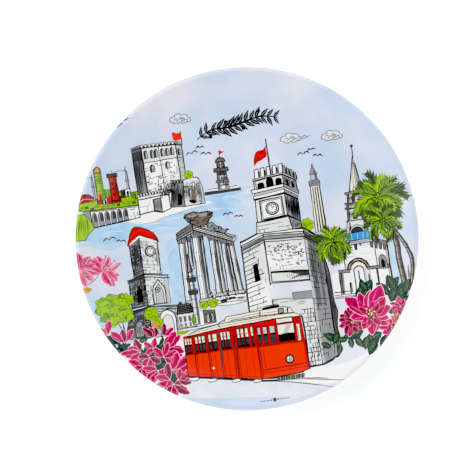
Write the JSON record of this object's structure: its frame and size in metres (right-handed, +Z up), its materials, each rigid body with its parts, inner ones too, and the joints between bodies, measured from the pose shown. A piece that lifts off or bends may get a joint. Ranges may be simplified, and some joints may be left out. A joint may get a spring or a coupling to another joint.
{
  "type": "souvenir plate",
  "caption": "Round coupe wall plate of white glazed porcelain with a printed picture over its face, on a foot ring pierced for a hanging cord.",
  "frame": {"origin": "centre of the plane that the foot ring rests on", "axes": "+Z up out of the printed face, +Y to the top of the picture, +X to its right"},
  "size_m": [0.2, 0.2, 0.02],
  "materials": {
    "porcelain": "bare fired porcelain, matte",
    "glaze": "clear gloss glaze over white",
    "picture": "printed colours fired into a gloss"
  },
  "bodies": {
    "root": {"porcelain_body": "porcelain", "white_glaze": "glaze", "picture_transfer": "picture"}
  },
  "joints": []
}
